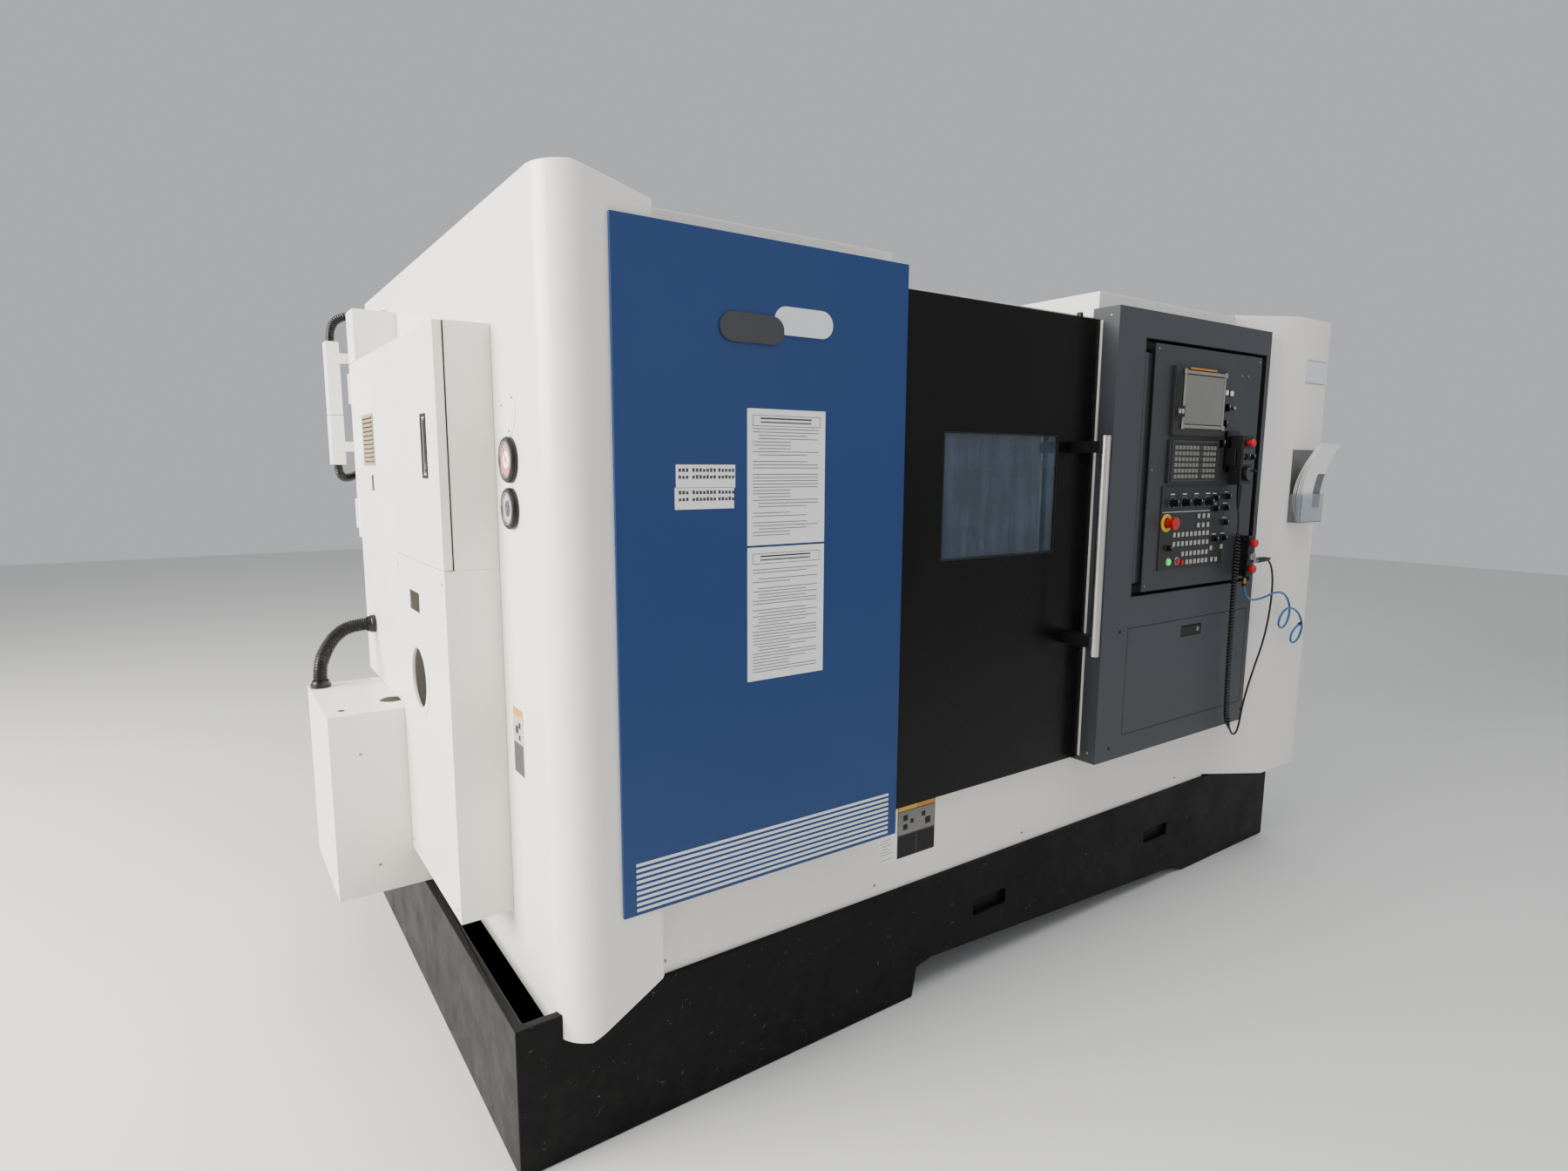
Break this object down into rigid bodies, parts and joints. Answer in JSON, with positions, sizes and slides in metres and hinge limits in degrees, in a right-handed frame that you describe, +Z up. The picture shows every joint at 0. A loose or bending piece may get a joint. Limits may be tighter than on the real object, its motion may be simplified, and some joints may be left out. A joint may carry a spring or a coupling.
{
  "type": "cnc turning lathe",
  "caption": "Enclosed slant-bed turning lathe with sliding door, chuck, tool turret, tailstock, operator panel and side cabinets.",
  "frame": {"origin": "middle of the footprint on the floor", "axes": "+Z up, front of the machine faces -Y, +X to the operator's right along the spindle axis"},
  "size_m": [3.294, 1.896, 2.052],
  "materials": {
    "white_paint": "gloss",
    "blue_paint": "satin",
    "black_gloss": "gloss",
    "grey_paint": "satin",
    "base_paint": "satin",
    "machine_iron": "matte",
    "bright_steel": "satin",
    "satin_aluminium": "satin",
    "window_glass": "gloss",
    "panel_plastic": "matte",
    "display_plastic": "satin",
    "red_plastic": "gloss",
    "green_plastic": "gloss",
    "black_plastic": "satin",
    "cord_rubber": "satin",
    "hose_plastic": "satin",
    "brass": "satin"
  },
  "bodies": {
    "machine": {"base_tank": "base_paint", "bed_casting": "machine_iron", "headstock": "machine_iron", "spindle_motor": "machine_iron", "z_axis_motor": "black_plastic", "left_fairing": "white_paint", "front_wall": "white_paint", "front_panel": "blue_paint", "roof_cover": "white_paint", "upper_right_cover": "white_paint", "right_end_cover": "white_paint", "rear_wall": "white_paint", "door_guides": "bright_steel", "control_housing": "grey_paint", "side_cabinet": "white_paint", "bar_chute_box": "white_paint", "low_service_box": "white_paint", "side_conduits": "cord_rubber", "pressure_gauges": "bright_steel", "access_door": "grey_paint"},
    "spindle_set": {"spindle": "bright_steel", "chuck_clamp_cylinder": "bright_steel", "chuck_body": "bright_steel"},
    "jaw_1": {"chuck_jaw_1": "bright_steel"},
    "jaw_2": {"chuck_jaw_2": "bright_steel"},
    "jaw_3": {"chuck_jaw_3": "bright_steel"},
    "ball_screw": {"z_ball_screw": "bright_steel"},
    "saddle": {"saddle": "machine_iron"},
    "cross_slide": {"cross_slide": "machine_iron", "turret_body": "machine_iron"},
    "turret": {"turret_disc": "bright_steel", "tool_holders": "bright_steel"},
    "tailstock": {"tailstock": "machine_iron"},
    "quill": {"tailstock_quill": "bright_steel"},
    "centre": {"live_centre": "bright_steel"},
    "door": {"main_door": "black_gloss", "door_window": "window_glass", "door_handle": "satin_aluminium", "handle_brackets": "black_plastic"},
    "access_latch": {"access_door_latch": "black_plastic"},
    "panel": {"operator_panel": "panel_plastic", "display_unit": "display_plastic", "keypad_unit": "display_plastic", "machine_control_unit": "panel_plastic", "handheld_pendant": "black_plastic", "air_valve_block": "bright_steel", "pendant_lead": "cord_rubber", "pendant_coil": "cord_rubber", "air_hose": "hose_plastic"},
    "stop_button": {"emergency_stop": "red_plastic"},
    "start_button": {"cycle_start_button": "green_plastic"},
    "hold_button": {"feed_hold_button": "red_plastic"},
    "mode_knob": {"mode_knob": "black_plastic"},
    "feed_knob": {"feed_override_knob": "black_plastic"},
    "rapid_knob": {"rapid_override_knob": "black_plastic"},
    "spindle_knob": {"spindle_override_knob": "black_plastic"},
    "dial": {"pendant_dial": "black_plastic"},
    "pendant_stop": {"pendant_stop_button": "red_plastic"},
    "cabinet_door": {"cabinet_door": "white_paint"},
    "cabinet_latch": {"cabinet_door_latch": "black_plastic"}
  },
  "joints": [
    {"name": "spindle_turn", "type": "hinge", "parent": "machine", "child": "spindle_set", "pos_m": [-0.814, -0.207, 0.972], "axis": [1, 0, 0], "continuous": true},
    {"name": "jaw_1_clamp", "type": "slide", "parent": "spindle_set", "child": "jaw_1", "axis": [0, -0.7071, 0.7071], "range_m": [-0.006, 0.006]},
    {"name": "jaw_2_clamp", "type": "slide", "parent": "spindle_set", "child": "jaw_2", "axis": [0, -0.2588, -0.9659], "range_m": [-0.006, 0.006]},
    {"name": "jaw_3_clamp", "type": "slide", "parent": "spindle_set", "child": "jaw_3", "axis": [0, 0.9659, 0.2588], "range_m": [-0.006, 0.006]},
    {"name": "saddle_travel", "type": "slide", "parent": "machine", "child": "saddle", "axis": [1, 0, 0], "range_m": [-0.2, 0.3]},
    {"name": "ball_screw_turn", "type": "hinge", "parent": "machine", "child": "ball_screw", "pos_m": [0.286, 0.19464, 1.02574], "axis": [1, 0, 0], "range_deg": [-5000, 7500]},
    {"name": "cross_travel", "type": "slide", "parent": "saddle", "child": "cross_slide", "axis": [0, 0.7071, 0.7071], "range_m": [-0.1, 0.05]},
    {"name": "turret_index", "type": "hinge", "parent": "cross_slide", "child": "turret", "pos_m": [-0.034, 0.02635, 1.20535], "axis": [1, 0, 0], "continuous": true},
    {"name": "tailstock_travel", "type": "slide", "parent": "machine", "child": "tailstock", "axis": [1, 0, 0], "range_m": [-0.25, 0.1]},
    {"name": "quill_travel", "type": "slide", "parent": "tailstock", "child": "quill", "axis": [1, 0, 0], "range_m": [-0.08, 0]},
    {"name": "centre_spin", "type": "hinge", "parent": "quill", "child": "centre", "pos_m": [0.426, -0.207, 0.972], "axis": [1, 0, 0], "continuous": true},
    {"name": "door_slide", "type": "slide", "parent": "machine", "child": "door", "axis": [-1, 0, 0], "range_m": [0, 0.6]},
    {"name": "access_latch_lift", "type": "hinge", "parent": "machine", "child": "access_latch", "pos_m": [0.865, -0.853, 0.959], "axis": [-1, 0, 0], "range_deg": [0, 20]},
    {"name": "panel_swing", "type": "hinge", "parent": "machine", "child": "panel", "pos_m": [0.5143, -0.852, 1.486], "axis": [0, 0, 1], "range_deg": [-75, 0]},
    {"name": "stop_press", "type": "slide", "parent": "panel", "child": "stop_button", "axis": [0, 1, 0], "range_m": [0, 0.004], "stiffness_N_per_m": 900},
    {"name": "start_press", "type": "slide", "parent": "panel", "child": "start_button", "axis": [0, 1, 0], "range_m": [0, 0.0025], "stiffness_N_per_m": 700},
    {"name": "hold_press", "type": "slide", "parent": "panel", "child": "hold_button", "axis": [0, 1, 0], "range_m": [0, 0.0025], "stiffness_N_per_m": 700},
    {"name": "pendant_stop_press", "type": "slide", "parent": "panel", "child": "pendant_stop", "axis": [0, 1, 0], "range_m": [0, 0.004], "stiffness_N_per_m": 700},
    {"name": "mode_turn", "type": "hinge", "parent": "panel", "child": "mode_knob", "pos_m": [0.681, -0.882, 1.382], "axis": [0, 1, 0], "range_deg": [-135, 135]},
    {"name": "feed_turn", "type": "hinge", "parent": "panel", "child": "feed_knob", "pos_m": [0.75, -0.882, 1.382], "axis": [0, 1, 0], "range_deg": [-135, 135]},
    {"name": "rapid_turn", "type": "hinge", "parent": "panel", "child": "rapid_knob", "pos_m": [0.819, -0.882, 1.382], "axis": [0, 1, 0], "range_deg": [-135, 135]},
    {"name": "spindle_knob_turn", "type": "hinge", "parent": "panel", "child": "spindle_knob", "pos_m": [0.888, -0.882, 1.382], "axis": [0, 1, 0], "range_deg": [-135, 135]},
    {"name": "dial_turn", "type": "hinge", "parent": "panel", "child": "dial", "pos_m": [1.0145, -0.932, 1.475], "axis": [0, 1, 0], "continuous": true},
    {"name": "cabinet_door_swing", "type": "hinge", "parent": "machine", "child": "cabinet_door", "pos_m": [-1.459, 0.558, 1.53], "axis": [0, 0, 1], "range_deg": [-85, 0]},
    {"name": "cabinet_latch_lift", "type": "hinge", "parent": "cabinet_door", "child": "cabinet_latch", "pos_m": [-1.454, -0.372, 1.586], "axis": [0, 1, 0], "range_deg": [0, 40]}
  ],
  "couplings": [
    {"joint": "jaw_2_clamp", "follows": "jaw_1_clamp", "ratio": 1},
    {"joint": "jaw_3_clamp", "follows": "jaw_1_clamp", "ratio": 1},
    {"joint": "ball_screw_turn", "follows": "saddle_travel", "rad_per_m": 314.16}
  ]
}
